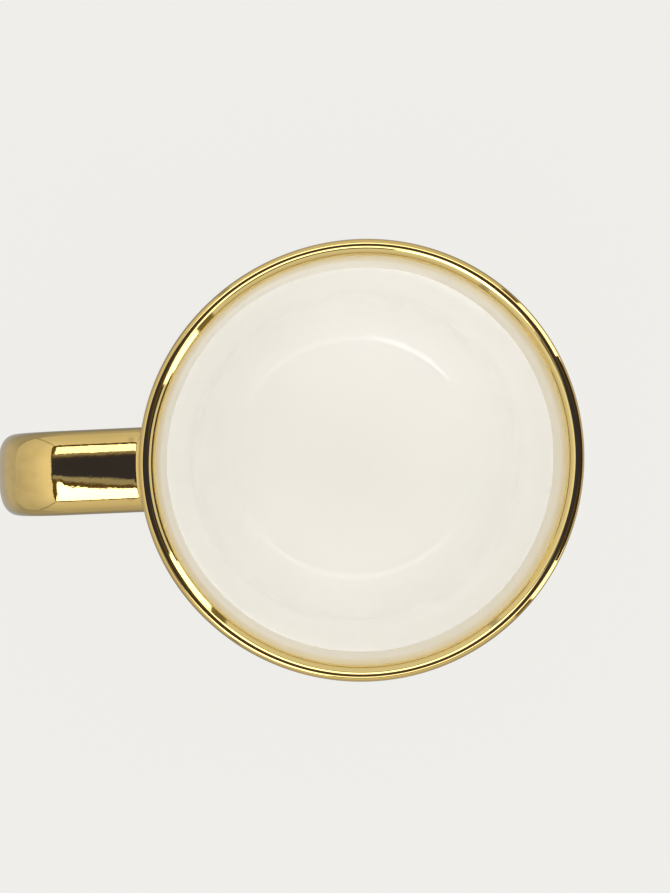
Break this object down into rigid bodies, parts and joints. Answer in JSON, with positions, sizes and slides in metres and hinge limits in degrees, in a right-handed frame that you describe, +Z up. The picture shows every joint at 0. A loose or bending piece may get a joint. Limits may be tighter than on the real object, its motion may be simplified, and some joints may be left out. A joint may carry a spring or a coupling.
{
  "type": "porcelain mug",
  "caption": "Straight-sided porcelain mug with a mirror gold outside, a gold band inside the lip, a cream glazed inside and a D-shaped strap handle; holds a hot drink.",
  "frame": {"origin": "on the cup's axis, in the plane of the foot ring", "axes": "+Z up along the cup's axis, -X towards the handle, +Y across the handle"},
  "size_m": [0.1136, 0.082, 0.09],
  "materials": {
    "porcelain": "bare fired porcelain, matt",
    "slip": "fired joining slip",
    "cream_glaze": "smooth glossy cream glaze",
    "gold": "mirror gold metal film over the glaze, turning pale at the masked edge inside the lip"
  },
  "bodies": {
    "root": {"cup_body": "porcelain", "inner_glaze": "cream_glaze", "base_glaze": "cream_glaze", "wall_gold": "gold", "rim_gold": "gold", "handle": "porcelain", "handle_gold": "gold", "upper_slip_seam": "slip", "lower_slip_seam": "slip"}
  },
  "joints": []
}
